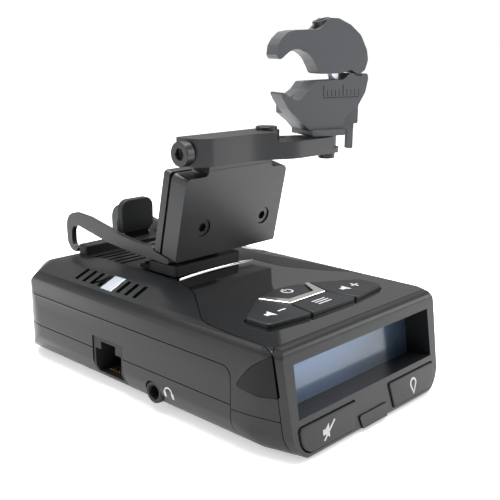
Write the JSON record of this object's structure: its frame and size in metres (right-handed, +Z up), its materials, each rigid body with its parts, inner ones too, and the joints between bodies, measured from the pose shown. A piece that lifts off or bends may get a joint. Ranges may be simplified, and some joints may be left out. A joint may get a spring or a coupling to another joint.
{
  "type": "radar detector",
  "caption": "Wedge-fronted dash radar detector with glossy key deck and display, on a slide-in spring bracket with a tilting arm and swivelling clamp jaws.",
  "frame": {"origin": "middle of the flat underside of the detector body", "axes": "+Z up, +Y from the display end to the rear, +X to the right as the display is seen"},
  "size_m": [0.0879, 0.1153, 0.1036],
  "materials": {
    "shell_black": "satin fine texture",
    "deck_black": "high gloss",
    "key_black": "satin",
    "smoked_lens": "high gloss",
    "display_glass": "clear tinted",
    "panel_glow": "satin",
    "bright_trim": "polished",
    "silver_badge": "satin",
    "board_green": "solder mask",
    "tin_plate": "satin",
    "ceramic_tan": "fired ceramic",
    "socket_black": "matte",
    "gold_contact": "bright",
    "label_grey": "printed film",
    "spring_steel": "black oxide",
    "anodised_black": "black anodised satin",
    "rubber_black": "matte",
    "screw_black": "black oxide",
    "screw_zinc": "zinc plated",
    "horn_metal": "die cast",
    "cone_black": "paper cone"
  },
  "bodies": {
    "detector": {"lower_case": "shell_black", "upper_case": "shell_black", "top_cover": "shell_black", "gloss_deck": "deck_black", "front_bezel": "shell_black", "side_windows": "smoked_lens", "display_window": "display_glass", "display_panel": "panel_glow", "arc_trim": "bright_trim", "power_trim": "bright_trim", "vent_badges": "silver_badge", "tact_switches": "tin_plate", "switch_board": "board_green", "main_board": "board_green", "horn_antenna": "horn_metal", "rear_lens": "smoked_lens", "speaker": "cone_black", "gps_patch": "ceramic_tan", "modular_jack": "socket_black", "jack_contacts": "gold_contact", "audio_jack": "socket_black", "rating_plate": "label_grey", "case_screws": "screw_zinc"},
    "power_key": {"power_button": "key_black"},
    "menu_key": {"menu_button": "key_black"},
    "volume_up_key": {"volume_up_button": "key_black"},
    "volume_down_key": {"volume_down_button": "key_black"},
    "mute_key": {"mute_button": "key_black"},
    "mark_key": {"mark_button": "key_black"},
    "release_key": {"release_button": "socket_black"},
    "bracket": {"bracket_shoe": "socket_black", "spring_bracket": "spring_steel", "tab_cap": "rubber_black", "front_plate": "anodised_black", "back_plate": "anodised_black", "set_screws": "screw_black"},
    "tilt_arm": {"arm": "anodised_black", "tilt_screw": "screw_black", "cap_screw": "screw_black", "swivel_screw": "screw_black"},
    "jaw_body": {"lower_jaw": "anodised_black"},
    "jaw_cap": {"upper_jaw": "anodised_black", "clamp_screw": "screw_zinc"}
  },
  "joints": [
    {"name": "power_press", "type": "slide", "parent": "detector", "child": "power_key", "axis": [0, 0, -1], "range_m": [0, 0.0006], "stiffness_N_per_m": 900},
    {"name": "menu_press", "type": "slide", "parent": "detector", "child": "menu_key", "axis": [0, 0, -1], "range_m": [0, 0.0006], "stiffness_N_per_m": 900},
    {"name": "volume_up_press", "type": "slide", "parent": "detector", "child": "volume_up_key", "axis": [0, 0, -1], "range_m": [0, 0.0006], "stiffness_N_per_m": 900},
    {"name": "volume_down_press", "type": "slide", "parent": "detector", "child": "volume_down_key", "axis": [0, 0, -1], "range_m": [0, 0.0006], "stiffness_N_per_m": 900},
    {"name": "mute_press", "type": "slide", "parent": "detector", "child": "mute_key", "axis": [0, 0.989, -0.1478], "range_m": [0, 0.0006], "stiffness_N_per_m": 900},
    {"name": "mark_press", "type": "slide", "parent": "detector", "child": "mark_key", "axis": [0, 0.989, -0.1478], "range_m": [0, 0.0006], "stiffness_N_per_m": 900},
    {"name": "release_press", "type": "slide", "parent": "detector", "child": "release_key", "axis": [0, 0, -1], "range_m": [0, 0.0015], "stiffness_N_per_m": 900},
    {"name": "bracket_slide", "type": "slide", "parent": "detector", "child": "bracket", "axis": [0, 1, 0], "range_m": [0, 0.015]},
    {"name": "arm_tilt", "type": "hinge", "parent": "bracket", "child": "tilt_arm", "pos_m": [0, -0.00262, 0.06682], "axis": [-1, 0, 0], "range_deg": [-8, 60]},
    {"name": "jaw_swivel", "type": "hinge", "parent": "tilt_arm", "child": "jaw_body", "pos_m": [0.0376, -0.0098, 0.0665], "axis": [0, 0, 1], "range_deg": [-60, 60]},
    {"name": "jaw_clamp", "type": "slide", "parent": "jaw_body", "child": "jaw_cap", "axis": [-0.2764, 0.0952, 0.9563], "range_m": [0, 0.005]}
  ]
}
